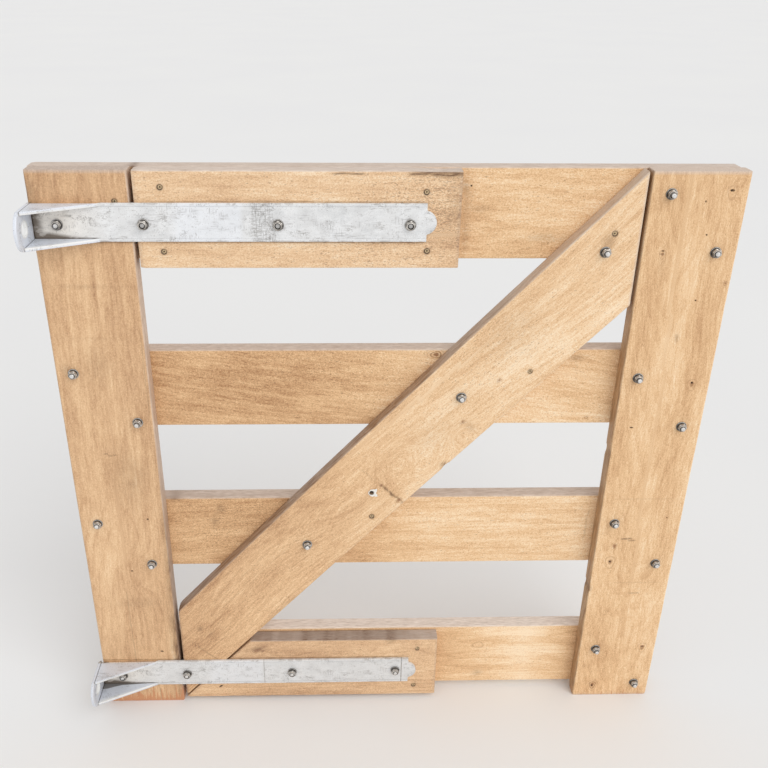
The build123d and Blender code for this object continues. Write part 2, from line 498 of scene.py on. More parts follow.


# %% [markdown]
# ## The nine boards
#
# Each board gets its heart line, how pale it is at a few places along it, and its own list of
# marks, read off the gate with the tape. How pale it is there is partly the board's own tone and
# partly painted shade, which darkens the left part of the leaf. `bleached` and `browned` tell how
# grey and how dark its two long edges and its two ends are, because sawn top edges weather first.

# %% Wood of each board
WOOD = dict(
    lean=0.0, drift=0.0, wander=0.004, damp=-5.0, cleaner=0.0, ashen=0.0, skew=0.0,
    bleached=(0.0, 1.0, 0.2, 0.2), browned=(0.0, 0.0, 0.0, 0.0),
)
# Each tone list holds pale shares by tape place: partly the board's own tone, partly painted shade that
# darkens the left of the leaf.
woods = {
    "hanging_stile": dict(
        seed=3, heart=(0.055, 0.12), drift=0.03, lean=0.03, damp=19.0, fleck=-0.1, ashen=0.07,
        bleached=(0.2, 0.75, 0.3, 1.0), browned=(0.3, 0.3, 0.3, 0.4),
        tone_and_shade=[(190, 0.44), (450, 0.41), (750, 0.36), (900, 0.35)],
    ),
    "closing_stile": dict(
        seed=8, heart=(0.085, 0.15), drift=-0.085, lean=-0.03, fleck=0.18,
        bleached=(0.0, 0.1, 0.3, 0.9), browned=(0.75, 0.0, 0.2, 0.2),
        tone_and_shade=[(100, 0.54), (450, 0.62), (900, 0.55)],
    ),
    "brace": dict(
        seed=14, heart=(0.16, 0.12), drift=-0.03, lean=-0.045, wander=0.009, skew=tangent,
        cleaner=0.6, fleck=0.34, ashen=0.05,
        bleached=(0.0, 0.7, 0.2, 0.8), browned=(0.3, 0.85, 0.6, 0.3),
        tone_and_shade=[(170, 0.37), (280, 0.46), (410, 0.46), (595, 0.76), (670, 0.72), (745, 0.78), (820, 0.76)],
    ),
    "top_packing_board": dict(
        seed=21, heart=(0.05, 0.22), drift=0.02, fleck=0.44, ashen=0.13,
        bleached=(0.0, 1.0, 0.3, 0.3), browned=(0.0, 0.15, 0.3, 0.3),
        tone_and_shade=[(180, 0.70), (400, 0.64), (540, 0.67), (620, 0.56)],
    ),
    "bottom_packing_board": dict(
        seed=27, heart=(0.12, 0.13), drift=0.02, fleck=0.4, ashen=0.12,
        bleached=(0.0, 1.0, 0.2, 0.3), browned=(0.0, 0.38, 0.3, 0.3),
        tone_and_shade=[(200, 0.5), (310, 0.35), (420, 0.4), (540, 0.58), (610, 0.47)],
    ),
    "top_rail": dict(
        seed=33, heart=(0.02, -0.32), drift=-0.04, fleck=0.4, browned=(0.0, 0.24, 0.0, 0.0),
        tone_and_shade=[(0, 0.64)],
    ),
    "upper_middle_rail": dict(
        seed=39, heart=(0.22, 0.22), lean=-0.16, drift=0.02, fleck=0.36, browned=(0.0, 0.32, 0.0, 0.0),
        tone_and_shade=[(370, 0.33), (450, 0.44), (620, 0.74), (770, 0.75), (850, 0.66)],
    ),
    "lower_middle_rail": dict(
        seed=45, heart=(-0.02, 0.30), lean=0.03, fleck=0.36, browned=(0.0, 0.38, 0.0, 0.0),
        tone_and_shade=[(370, 0.41), (470, 0.46), (600, 0.69)],
    ),
    "bottom_rail": dict(
        seed=51, heart=(0.1, -0.24), drift=0.03, fleck=0.3,
        tone_and_shade=[(630, 0.54), (710, 0.68), (800, 0.95), (890, 0.55)],
    ),
}
print(len(woods), "boards")

# %% Where the bolts go, by tape
board_bolts = [
    (27.7, 699.4), (119.1, 611.6), (30.2, 414.3), (114.5, 327.9),
    (928.2, 985.1), (1009.7, 896.9), (923.6, 688.1), (1009.0, 599.0),
    (924.8, 406.4), (1010.2, 319.0), (928.0, 119.0), (1013.6, 32.2),
    (843.1, 897.4), (641.4, 654.9), (388.1, 366.9),
]
strap_bolts = [
    (38.8, 940.4), (162.1, 940.7), (356.9, 940.0), (549.4, 940.1),
    (36.2, 71.2), (156.5, 74.0), (354.1, 75.5), (548.7, 76.8),
]
SOCKET = 11.5


def sockets_of(node):
    """A shallow round socket in a rail's back for each bolt whose place lies on that rail."""
    low, high = ((np.array(c) - foot) * 1000 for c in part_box(node))
    inside = [(x, z) for x, z in board_bolts + strap_bolts if low[2] < z < high[2] and low[0] < x < high[0]]
    return [(x, z, SOCKET) for x, z in inside]


print("bolts", len(board_bolts + strap_bolts), "on the top rail", len(sockets_of("top_rail")))

# %% Marks read off the gate
# Each mark is its x and z by tape, and then these. The lengths among them are in mm.
COLUMNS = {
    **{kind: ("size",) for kind in ("hole", "screw", "slot", "socket")},
    **{kind: ("size", "across", "dark") for kind in ("flecks", "smudge", "tint")},
    **{kind: ("size", "across", "dark", "bend") for kind in ("crack", "line")},
    "bite": ("size", "depth", "side"),
    "dish": ("size", "depth"),
    "knot": ("size", "dark"),
    "swirl": ("size", "push", "long"),
}
LENGTHS = ("size", "across", "depth", "push", "bend")
tape_marks = {
    "hanging_stile": {
        "swirl": [(92, 300, 28, 12), (40, 470, 50, 6)],
        "screw": [(123.5, 972.8, 4)],
        "slot": [(112.5, 124.1, 4)],
        "knot": [(98.3, 492.8, 5, 0.5)],
        "hole": [(115.9, 422, 1.8), (77.2, 311.9, 1.6)],
        # The crosswise cracks at 912.8 and 104.8 are painted shadow lines along the straps' edges.
        "crack": [(68, 551, 1.1, 11, 0.8, 4), (76, 912.8, 1.4, 90, 0.9), (76, 104.8, 1.3, 90, 0.8)],
        "tint": [
            (132, 128, 50, 6, 0.35), (137, 90, 20, 4, 0.4), (88, 650, 90, 4, 0.14),
            (104, 560, 80, 3, 0.12), (45, 890, 60, 30, 0.1), (55, 760, 160, 30, 0.08),
            (100, 800, 120, 14, -0.05), (40, 600, 100, 20, 0.09), (118, 480, 160, 12, -0.08),
            (70, 520, 50, 20, -0.08), (30, 330, 140, 16, 0.08), (100, 190, 100, 30, -0.07),
        ],
        "smudge": [
            (96, 505, 50, 28, 0.3), (80, 240, 12, 45, 0.25), (143, 120, 120, 12, 0.9),
            (143, 330, 160, 7, 0.5), (4, 985, 20, 9, 0.6), (15.5, 705, 9, 6, 0.45),
            (69, 843.6, 2.2, 60, 0.22), (58, 760.8, 2.2, 60, 0.22), (66, 712, 30, 18, 0.22),
        ],
        "dish": [(17.5, 704, 9, 2.2)],
        "line": [(62.5, 175, 90, 0.9, 0.5), (101, 18, 14, 0.9, 0.9), (139, 700, 70, 1.2, 0.45)],
    },
    "closing_stile": {
        "swirl": [
            (930, 322, 14, 14, 1.3), (1013, 700, 40, -10), (985, 200, 40, 8), (931, 356, 10, 8, 1.3),
            (1017, 988, 13, 12, 1.5), (930, 893, 10, 9, 1.8),
        ],
        "slot": [(1017.2, 990, 4.2), (929.8, 898.9, 2.6), (926.6, 597, 3.6)],
        "knot": [
            (1017.2, 988, 11, 0.45), (1034, 847.7, 4.2, 0.8), (929.8, 894, 6, 0.55), (1013, 676, 9, 0.55),
            (1015.8, 416.9, 4.5, 0.5), (931.7, 356.8, 5, 0.9), (928.4, 322.1, 11, 0.55),
            (935.7, 206.8, 5, 0.5), (1017.2, 120.6, 9, 0.6), (933.6, 26.4, 9, 0.8), (912, 75.3, 6, 0.35),
        ],
        "hole": [
            (980.7, 973.9, 1.1), (991.2, 923.9, 1.3), (993.3, 820, 1.2), (1013, 679, 2),
            (1015.8, 416.4, 1.1), (928.4, 322.1, 1.8), (1017.2, 121.6, 1.6), (933, 24, 2),
        ],
        "crack": [
            (929, 894, 1.1, 4, 0.7), (951, 372, 1.6, 10, 1.1, 2), (960, 368, 1.2, 6, 1, 2),
            (975, 456, 1.1, 55, 0.22), (985, 275, 1.1, 45, 0.2), (982, 250.8, 1.2, 9, 0.7, 1),
        ],
        "smudge": [(931, 886, 24, 5, 0.15), (975.1, 756.7, 6, 3, 0.6), (898, 262, 6, 4, 0.8)],
        "tint": [
            (966, 800, 120, 12, 0.16), (952, 700, 70, 6, 0.16), (985, 860, 50, 6, 0.14),
            (1012, 720, 160, 15, -0.1), (921, 969, 13, 7, -0.2), (915, 700, 200, 9, -0.14),
            (1000, 560, 140, 20, -0.08),
        ],
        "bite": [(897, 545, 6, 3, -1), (897, 262, 5, 3, -1)],
    },
    "brace": {
        "screw": [(853.7, 925.8, 4.2), (748.8, 700.4, 3.6), (500.1, 424.7, 4.2)],
        "knot": [
            (700.9, 684.9, 4, 0.8), (515.5, 488, 3.2, 0.9), (546.3, 457.7, 5, 0.9),
            (551.5, 453.5, 3, 0.8), (647, 609, 4.5, 0.8),
        ],
        "swirl": [
            (539, 533, 26, 30, 1.4), (590, 528, 24, -22, 1.4), (645, 582, 16, 18, 1.4),
            (470, 450, 40, -14), (690, 690, 50, 10), (300, 300, 60, 12), (651, 588, 16, 16, 1.2),
        ],
        "bite": [(620.5, 526, 4.8, 5.5, -1)],
        "smudge": [
            (619, 528.5, 4.5, 4.5, 1.3), (522, 481, 2.5, 3, 0.9), (534, 468, 3, 4, 0.7),
            (660, 600, 6, 12, 0.35), (187, 177.2, 6, 4, 0.7), (206.2, 162.5, 9, 3, 0.7),
            (846, 916, 9, 9, 0.5), (715, 770, 50, 40, 0.16), (600, 585, 40, 30, 0.12),
        ],
        "line": [
            (846, 903, 11, 0.9, 0.35), (330, 214, 50, 1.1, 0.5, 6), (345, 240, 45, 1, 0.35, 6),
            (300, 300, 90, 1, 0.2, 3), (255, 280, 90, 1, 0.2, 3),
        ],
        "crack": [(212, 105.5, 1.3, 60, 0.7), (531, 473, 1.8, 21, 1, 3), (497, 504, 1.2, 22, 0.35, 3)],
        "tint": [
            (849, 912, 9, 9, -0.2), (535, 478, 12, 30, -0.2), (530, 530, 30, 35, -0.1),
            (590, 560, 30, 20, 0.12),
        ],
        "hole": [(499.1, 473.3, 4.2)],
        "flecks": [(690, 740, 90, 60, 0.3)],
    },
    "top_packing_board": {
        "screw": [(189.9, 993.4, 4.2), (187.5, 898, 4.2), (572, 987, 4.2), (575.8, 899, 4.4)],
        "flecks": [(590, 975, 80, 45, 0.75), (520, 900, 140, 60, 0.35)],
        "line": [
            # The lines at 972.6 and 912.8 are painted shadows along the upper strap's edges.
            (380, 972.6, 200, 1.2, 0.75), (380, 912.8, 200, 1.4, 1), (460, 1013.2, 22, 1.3, 1.2),
            (586, 1013.6, 38, 2.2, 1.6, 1.2),
        ],
        "smudge": [(600, 1012, 24, 3.2, 1.1), (616, 975, 14, 50, 0.25)],
        "bite": [(592, 1014, 30, 2.8, 1)],
    },
    "bottom_packing_board": {
        "swirl": [(292, 126, 18, 14), (560, 98, 30, 10)],
        "screw": [(590, 123.6, 4.2), (585.8, 32.3, 4.2)],
        "hole": [(216.6, 35.3, 2.8)],
        "knot": [(290.4, 124, 8, 1), (300, 131, 5, 0.7), (300, 122, 4, 1)],
        "smudge": [(292, 127, 20, 6, 0.7), (400, 148, 300, 2, 0.9), (540, 145, 12, 6, 0.8)],
        # Both lines are painted shadows along the lower strap's edges.
        "line": [(400, 104.8, 200, 1.3, 0.9), (370, 45.2, 220, 1.3, 0.8)],
    },
    "top_rail": {
        "hole": [(640, 990, 1.4)],
        "smudge": [
            (148, 1010, 7, 12, 1.2), (630, 990, 6, 12, 0.6), (634, 940, 8, 60, 0.35),
            (762, 911, 30, 7, 0.4), (655, 955, 12, 4, 0.4),
        ],
    },
    "upper_middle_rail": {
        "knot": [(601, 718, 9, 0.8), (857.6, 601.5, 4, 0.7)],
        "smudge": [(830, 712, 14, 6, 0.5)],
        "flecks": [(420, 690, 220, 60, 0.25)],
    },
    "lower_middle_rail": {
        "flecks": [(250, 400, 160, 80, 0.3)],
        "smudge": [(236, 424, 7, 10, 0.5), (226, 398, 6, 12, 0.45), (158, 446, 12, 5, 0.7)],
        "crack": [(885, 385, 1.6, 30, 0.3, 3)],
    },
    "bottom_rail": {
        "knot": [(710, 106, 11, 0.45)],
        "smudge": [(712, 36, 10, 8, 0.5)],
    },
}
print(sum(len(rows) for marks in tape_marks.values() for rows in marks.values()), "marks")

# %% Build the boards
BOARD_CREASE = 50
DAMP_RISE = 15


def marks_on(node):
    """A board's marks with their places along and across it, and their columns by name."""
    marks = []
    backs = sockets_of(node) if "rail" in node else []
    for kind, rows in {**tape_marks[node], "socket": backs}.items():
        for x_mm, z_mm, *values in rows:
            s, a = unlay(node, x_mm, z_mm)
            named = {c: v / 1000 if c in LENGTHS else v for c, v in zip(COLUMNS[kind], values)}
            marks.append({"kind": kind, "s": s, "a": a, **named})
    return marks


def board_piece(node):
    """A board's finished piece, which stands for its plain solid."""
    low, high = (np.array(c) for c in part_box(node))
    wood = {**WOOD, **woods[node]}
    length, thick, width = high - low
    if node in STILES:
        length, width = width, length
    elif node == "brace":
        length, width = brace_length, BRACE_WIDTH
    marks = marks_on(node)
    s, a, d, faces, skin = board_points((length, width, thick), wood, marks)
    points = lay(node, s, a, d)
    tape = (points - foot) * 1000
    places, tone_and_shade_stops = zip(*wood["tone_and_shade"])
    skin["damp"] = np.clip((wood["damp"] - tape[:, 2]) / DAMP_RISE, -3, 3)
    # The tone stops carry painted shade as well as the board's own tone.
    skin["tone_and_shade"] = np.interp(tape[:, 2 if node in STILES else 0], places, tone_and_shade_stops) + skin.pop("tint")
    faces = outwards(points, faces)
    piece = make_piece(node + "_wood", points, faces, BOARD_CREASE, [node])
    store(piece, trunk=trunk_places(wood, s, a, d, marks), **skin)
    return piece


boards = {node: board_piece(node) for node in woods}
print("points in the boards", sum(len(b.data.vertices) for b in boards.values()))

# %% [markdown]
# ## The folded hinge
#
# Each hinge is one plate: a long bar whose end has two tapering sides folded forward. It could be
# built from boxes with bevels, but then the fold would show seams. Here one closed section is
# carried along the bar. Near the end the section is a channel, further on it sinks into a flat
# bar, and the nose comes from narrowing it.

# %% Sizes of the hinge plate, in millimetres
PLATE = 5.0
HALF = 28.5
BEND = 6.0
SIDE_DEPTH = 55.0
SIDE_LENGTH = 101.0
SIDE_END = 4.0
SHOULDER = 573.5
NOSE_HALF = 17.0
NOTCH = 2.5
NOSE_TIP = 588.0
RIM = 0.9
HOLE_RADIUS = 11.0
HOLE_DEPTH = 40.0
LAND = 32.0
END_BEND = 4.5
CHAMFER = 0.6
PLATE_CREASE = 38
HINGE_DARKNESS = {"lower": (1.0, 0.8), "upper": (0.15, 0.0)}  # how much darker each bar and its end plate are; it also scales the painted shade in the lower fold
plate_outside = {side: (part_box(side + "_end_plate")[0][0] - foot[0]) * 1000 for side in HINGE_DARKNESS}
levels_mm = {side: (sum(c[2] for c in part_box(side + "_strap")) / 2 - foot[2]) * 1000 for side in HINGE_DARKNESS}
print("outer faces", plate_outside, "levels", levels_mm)


# %% Lay a hinge piece on the leaf
def hinge_piece(name, side, points, faces, nodes, **fields):
    """Lays a hinge piece at its side's level and keeps its places on the plate for the zinc."""
    placed = foot + (points + [0, 0, levels_mm[side]]) / 1000
    faces = outwards(placed, faces)
    piece = make_piece(side + name, placed, faces, PLATE_CREASE, nodes)
    inner_face = plate_outside[side] + PLATE
    store(piece, place=(points - [inner_face, 0, 0]) / 1000, **fields)
    print(piece.name, "box", np.round(placed.min(0), 4), np.round(placed.max(0), 4))
    return piece


# %% Width and section of the bar
def bar_half_width(x):
    """Half width along the bar: full, then a quarter round notch, then the nose's circle."""
    nose_length = NOSE_TIP - SHOULDER - NOTCH
    nose_radius = (NOSE_HALF**2 + nose_length**2) / (2 * nose_length)
    into_notch = np.clip(SHOULDER + NOTCH - x, 0, NOTCH)
    notch = NOSE_HALF + NOTCH - np.sqrt(NOTCH**2 - into_notch**2)
    nose = np.sqrt(np.clip(nose_radius**2 - (x - NOSE_TIP + nose_radius) ** 2, 0, None))
    return np.where(x < SHOULDER + NOTCH, notch, nose)


def bar_section(depth, corner):
    """Half a channel section: (z, forward) from back face to front, how bright (partly wear, partly a
    painted highlight) and how creased.
    """
    quarter, curl = (np.linspace(0, math.pi / 2, count) for count in (6, 4))
    legs = np.linspace(0, 1, 6)[1:]
    bend_z, rim = HALF - corner, depth - RIM
    front_z = [HALF - BEND - 0.6, *np.linspace(HALF - BEND - 1.6, 0, 6)]
    fold = min(max((depth - BEND) / 4, 0), 1)
    parts = [  # z, forward, bright edge (wear and painted highlight), creased
        (np.linspace(0, bend_z, 5)[:-1], 0, 0, 0),
        (bend_z + corner * np.sin(quarter), corner - corner * np.cos(quarter), 0, 0),
        (HALF, corner + (rim - corner) * legs, 0, 0),
        (HALF - RIM + RIM * np.cos(curl), rim + RIM * np.sin(curl), 0, 0),
        (HALF - PLATE + RIM - RIM * np.sin(curl), rim + RIM * np.cos(curl), 0.7 * fold, 0),
        (HALF - PLATE, rim + (BEND - rim) * legs, 0, 0),
        ((HALF - BEND + np.cos(quarter))[1:], (BEND - np.sin(quarter))[1:], 0, fold),
        (np.array(front_z), PLATE, 0, 0),
    ]
    section = np.concatenate([np.stack(np.broadcast_arrays(*part), axis=1) for part in parts])
    section[:, 1] = np.clip(section[:, 1], 0, depth)
    return section


print("points of half a section", len(bar_section(SIDE_DEPTH, BEND)))


# %% Carry the section along
def bar_points(start):
    """The section carried along x. Mirrored halves make it a closed loop at each station."""
    nose = np.sin(np.linspace(0, math.pi / 2, 40)[1:])
    notch = 1 - np.cos(np.linspace(0, math.pi / 2, 6))
    x = np.concatenate([
        np.linspace(start, SIDE_LENGTH, 34),
        np.linspace(SIDE_LENGTH, SIDE_LENGTH + SIDE_END, 5)[1:],
        np.linspace(SIDE_LENGTH + SIDE_END, SHOULDER, 60)[1:],
        SHOULDER + NOTCH * notch,
        SHOULDER + NOTCH + (NOSE_TIP - SHOULDER - NOTCH) * nose,
    ])
    taper = np.clip((x - start) / (SIDE_LENGTH - start), 0, 1)
    depth = SIDE_DEPTH + (PLATE - SIDE_DEPTH) * taper
    corner = BEND + (RIM - BEND) * ramp(x, SIDE_LENGTH - SIDE_END, SIDE_LENGTH + SIDE_END)
    tip = np.arange(len(x)) >= len(x) - len(notch) - len(nose)
    half = np.where(tip, bar_half_width(x), HALF)
    rings = []
    for station, forward, rounding, width in zip(x, depth, corner, half):
        near = bar_section(forward, rounding) * [width / HALF, 1, 1, 1]
        loop = np.concatenate([near, (near * [-1, 1, 1, 1])[::-1]])
        rings.append(np.column_stack([np.full(len(loop), station), -loop[:, 1], loop[:, 0], loop[:, 2:]]))
    return np.array(rings)


print("sections along a bar and points in each", bar_points(0.0).shape[:2])


# %% Close and build the bars
def close_holes(piece):
    """Fills each open loop with one face, then counts the edges that don't join exactly two."""
    mesh = bmesh.new()
    mesh.from_mesh(piece.data)
    rim = [e for e in mesh.edges if len(e.link_faces) == 1]
    bmesh.ops.holes_fill(mesh, edges=rim)
    left = sum(len(e.link_faces) != 2 for e in mesh.edges)
    mesh.to_mesh(piece.data)
    mesh.free()
    print(piece.name, "filled", len(rim), "rim edges, left open", left)


def hinge_bar(side):
    """The bar and its folded sides as one piece, which stands for three nodes."""
    rings = bar_points(plate_outside[side] + PLATE)
    faces = grid_faces(*rings.shape[:2], close_columns=True)
    points = rings.reshape(-1, 5)
    first, faces = weld(points[:, :3], faces, 1e-4)
    points, worn, crease = points[first, :3], points[first, 3], points[first, 4]
    nodes = [side + n for n in ("_strap", "_hinge_top_side", "_hinge_bottom_side")]
    sooty = np.full(len(points), HINGE_DARKNESS[side][0])
    piece = hinge_piece("_hinge_bar", side, points, faces, nodes, worn=worn, crease=crease, sooty=sooty)
    close_holes(piece)
    return piece


bars = [hinge_bar(side) for side in HINGE_DARKNESS]

# %% [markdown]
# ## The end plate
#
# The plate has a round front that follows the eye bolt's hole, so it is easiest to think of it
# as a ring: a small section is carried round the hole, and its outer end reaches to the
# plate's outline in each direction.


# %% End plate
def outline_reach(turn):
    """Distance from the hole's centre to the nearest of its sides, its back edge and round front."""
    forward, up = np.cos(turn), np.sin(turn)
    sides = HALF / np.maximum(np.abs(up), 1e-9)
    ends = np.where(forward > 0, LAND, HOLE_DEPTH / np.maximum(-forward, 1e-9))
    return np.minimum(sides, ends)


def end_plate(side):
    """Ring section: hole wall, outer face, rim, inner face. The back edge bends into the bar."""
    corner, land = math.atan2(HALF, -HOLE_DEPTH), math.asin(HALF / LAND)
    turn = np.linspace(-math.pi, math.pi, 97)
    turn = np.unique(np.concatenate([turn, [corner, -corner, land, -land]]))[:-1]
    inner, outer = HOLE_RADIUS + CHAMFER, outline_reach(turn)
    across = [inner + (outer - RIM - inner) * share for share in np.linspace(0, 1, 7)]
    edge = RIM * 0.3
    ring = [(HOLE_RADIUS, CHAMFER), (HOLE_RADIUS, PLATE - CHAMFER)]
    ring += [(radius, PLATE) for radius in across]
    ring += [(outer - edge, PLATE - edge), (outer, PLATE - RIM), (outer, RIM), (outer - edge, edge)]
    ring += [(radius, 0.0) for radius in across[::-1]]
    inner_face = plate_outside[side] + PLATE
    points = []
    for radius, height in ring:
        x = np.full(len(turn), inner_face - height)
        points.append(np.stack([x, -HOLE_DEPTH - radius * np.cos(turn), radius * np.sin(turn)], axis=1))
    points = np.concatenate(points)
    bent = np.clip(points[:, 1] + END_BEND, 0, END_BEND)
    lift = END_BEND - np.sqrt(np.clip(END_BEND**2 - bent**2, 0, None))
    points[:, 0] += lift * np.clip((inner_face - points[:, 0]) / PLATE, 0, 1)
    faces = grid_faces(len(ring), len(turn), close_rows=True, close_columns=True)
    at_hole = np.abs(np.hypot(points[:, 1] + HOLE_DEPTH, points[:, 2]) - HOLE_RADIUS) < 1
    plain = np.ones(len(points))
    # The hole's rim is painted bright: partly wear, partly a painted highlight.
    fields = dict(worn=0.7 * at_hole, crease=0 * plain, sooty=HINGE_DARKNESS[side][1] * plain)
    return hinge_piece("_end_plate_zinc", side, points, faces, [side + "_end_plate"], **fields)


end_plates = [end_plate(side) for side in HINGE_DARKNESS]

# %% [markdown]
# ## Nuts, washers and heads
#
# A round part is a profile turned about its axis, so washers, bolt ends and heads are short lists
# of radius, height and darkening, which is mostly painted shade. A nut is the same idea, with its
# radius limited by six flats.


# %% Turned parts
PITCH = 1.25  # from one thread ridge to the next, in mm


def turned(profile, limit=None, segments=36, angle=0.0):
    """(radius, height, darkening) turned about the axis. limit gives the largest radius by angle."""
    turn = np.linspace(0, 2 * math.pi, segments, endpoint=False)
    radius, height, dirt = (np.repeat(c[:, None], segments, axis=1) for c in np.array(profile, float).T)
    if limit is not None:
        radius = np.minimum(radius, limit(turn)[None, :])
    points = np.stack([radius * np.cos(turn + angle), radius * np.sin(turn + angle), height], axis=2)
    return points.reshape(-1, 3), grid_faces(len(radius), segments, close_columns=True), dirt.ravel()


def six_flats(across_flats):
    """Distance to a hexagon's side: half its width over the cosine from the nearest flat."""
    def limit(turn):
        off = np.mod(turn + math.pi / 6, math.pi / 3) - math.pi / 6
        return across_flats / 2 / np.cos(off)
    return limit


def washer_part():
    """A flat ring with eased edges, painted dark as shade under the nut and round its outer rim."""
    return turned([
        (3.9, 0.0, 0.8), (8.2, 0.0, 0.9), (8.5, 0.25, 0.8), (8.5, 1.15, 0.35), (8.2, 1.5, 0.0),
        (7.8, 1.5, 0.1), (6.9, 1.5, 0.9), (4.3, 1.5, 0.9), (3.9, 1.2, 0.9),
    ])


def nut_part(angle):
    """Hexagon with both faces chamfered and a round collar on top. Its base, the groove at the collar and
    the bore are painted dark as shade, and its flanks darker towards the base as a painted dark reflection.
    """
    body = [
        (4.0, 0.0, 1.0), (6.3, 0.0, 1.0), (7.5, 0.6, 1.0), (7.6, 0.9, 0.85), (7.6, 4.7, 0.3),
        (7.3, 5.4, 0.0), (6.5, 5.8, 0.0), (6.05, 5.9, 0.9), (5.9, 6.0, 0.7), (5.7, 6.8, 0.05),
        (5.4, 7.5, 0.0), (5.0, 7.7, 0.0), (4.6, 7.6, 0.4), (4.3, 7.0, 1.0), (4.0, 6.0, 1.0),
    ]
    return turned(body, six_flats(13.0), 48, angle)


def bolt_end_part(length):
    """Threaded end: ridges a pitch apart, painted dark between them as shade, and a slightly domed tip."""
    heights = np.arange(4.0, length - 0.9, PITCH / 4)
    ridge = np.cos(2 * math.pi * heights / PITCH)
    thread = np.column_stack([3.78 + 0.17 * ridge, heights, 0.55 - 0.35 * ridge])
    tip = np.array([(3.55, -0.8, 0.3), (3.1, -0.25, 0), (2.2, 0, 0.05), (1, 0.05, 0.1), (0, 0.06, 0.1)])
    return turned(np.concatenate([thread, tip + [0, length, 0]]), segments=24)


def head_part():
    """Cup head: a shallow dome, its edge pressed into the wood and darker towards it."""
    t = np.linspace(0, math.pi / 2, 9)
    rows = np.column_stack([10.0 * np.cos(t), 3.4 * np.sin(t), 0.5 * np.cos(t)])
    return turned(np.concatenate([[(10.0, -1.2, 0.9)], rows]), segments=32)


print("points of a washer", len(washer_part()[0]), "and of a nut", len(nut_part(0.0)[0]))


# %% Turn and gather small parts
def facing(sign, points):
    """Turns a part that stands on its axis: -1 points it to the front and 1 to the back."""
    return np.stack([points[:, 0], sign * points[:, 2], points[:, 1]], axis=1)


def turn_about(axis, angle):
    """Matrix that turns places about an axis, by an angle in radians."""
    return np.array(Matrix.Rotation(angle, 3, axis))


def gathered(name, parts, crease=30):
    """Joins many small parts into one piece, each turned outwards by itself."""
    points, faces, dirt, count = [], [], [], 0
    for part_points, part_faces, part_dirt in parts:
        first, part_faces = weld(part_points, part_faces, 1e-9)
        points.append(part_points[first])
        dirt.append(part_dirt[first])
        faces.append(outwards(points[-1], part_faces) + count)
        count += len(first)
    piece = make_piece(name, np.concatenate(points), np.concatenate(faces), crease)
    store(piece, dirt=np.concatenate(dirt))
    print(name, len(parts), "parts", count, "points")
    return piece


# %% Put fixings in their places
WASHER_TOP = 1.5
HEAD_SEAT = 50.3
BOARD_SEAT = 0.25
SHORT_END = 6.4
DEEPEN_DARK = (0.3, 0.15, 0.5)  # how much more the dark parts are darkened: on a board, on the upper strap and on the lower strap
SHADED_SIDE = (-0.75, 0.6)  # which side gets painted shade: low on its left on a board, and low on its right on a strap

rng = np.random.default_rng(7)
washers, nuts, ends, heads = [], [], [], []
for x_mm, z_mm in board_bolts + strap_bolts:
    on_strap = (x_mm, z_mm) in strap_bolts
    on_lower = on_strap and z_mm < 100
    short = on_strap and not on_lower and x_mm > 100
    seat = from_tape(x_mm, -PLATE if on_strap else BOARD_SEAT, z_mm)
    spin = rng.uniform(0, math.pi / 3)
    tilt = turn_about("X", rng.normal(0, 0.02)) @ turn_about("Z", rng.normal(0, 0.02))
    stick_out = rng.uniform(7.8, 9.2) if on_strap else rng.uniform(9.5, 12.0)
    stick_out = SHORT_END if short else stick_out
    soot = DEEPEN_DARK[on_strap + on_lower]
    for group, (points, faces, dirt), lift in (
        (washers, washer_part(), 0.0),
        (nuts, nut_part(spin), WASHER_TOP),
        (ends, bolt_end_part(stick_out), WASHER_TOP),
    ):
        points = facing(-1, points + [0, 0, lift]) @ tilt.T
        # Painted shade: the side away from the light is darker.
        below = np.clip((SHADED_SIDE[on_strap] * points[:, 0] - 0.7 * points[:, 2] - 1) / 6, 0, 1)
        dirt = np.clip(dirt + 0.75 * below + soot * (dirt > 0.2), 0, 1)
        if group is ends and short:
            dirt = np.maximum(dirt, 0.5)
        group.append((seat + points / 1000, faces, dirt))
    points, faces, dirt = head_part()
    heads.append((from_tape(x_mm, HEAD_SEAT, z_mm) + facing(1, points) / 1000, faces, dirt))
washers_piece = gathered("washers", washers)
nuts_piece = gathered("nuts", nuts)
ends_piece = gathered("bolt_ends", ends)
heads_piece = gathered("cup_heads", heads, 50)

# %% [markdown]
# ## Screws and the bare washer
#
# Screw heads sit at the bottom of the small cones in the boards. One more washer on the brace,
# bright and worn, lies round an empty hole that is off its centre; the hole is painted dark as shade.


# %% Screw heads
SCREW_SEAT = 1.2


def screw_part():
    """A flat head with a crossed recess: the face dips where it is near either arm of the cross, and is
    painted darker the deeper it lies, as shade.
    """
    segments, rings = 32, 9
    turn = np.linspace(0, 2 * math.pi, segments, endpoint=False)
    radius = np.linspace(0, 2.9, rings)[:, None]
    x, y = radius * np.cos(turn), radius * np.sin(turn)
    arm = np.minimum(np.abs(x), np.abs(y))
    dip = 0.9 * ramp(0.55 - arm, 0, 0.3) * ramp(1.7 - radius, 0, 0.4)
    top = np.stack([x, y, 0.15 - dip], axis=2)
    rim = np.stack([3.0 * np.cos(turn), 3.0 * np.sin(turn), np.full(segments, -0.9)], 1)[None]
    points = np.concatenate([top, rim]).reshape(-1, 3)
    dirt = np.clip(0.3 - points[:, 2], 0, 1)
    return points, grid_faces(rings + 1, segments, close_columns=True), dirt


screws = []
for marks in tape_marks.values():
    for x_mm, z_mm, _ in marks.get("screw", []):
        points, faces, dirt = screw_part()
        points = facing(-1, points @ turn_about("Z", rng.uniform(0, math.pi)).T)
        screws.append((from_tape(x_mm, SCREW_SEAT, z_mm) + points / 1000, faces, dirt))
screws_piece = gathered("wood_screws", screws)

# %% Bare washer
BARE_PLACE = (499.1, 0.2, 473.3)


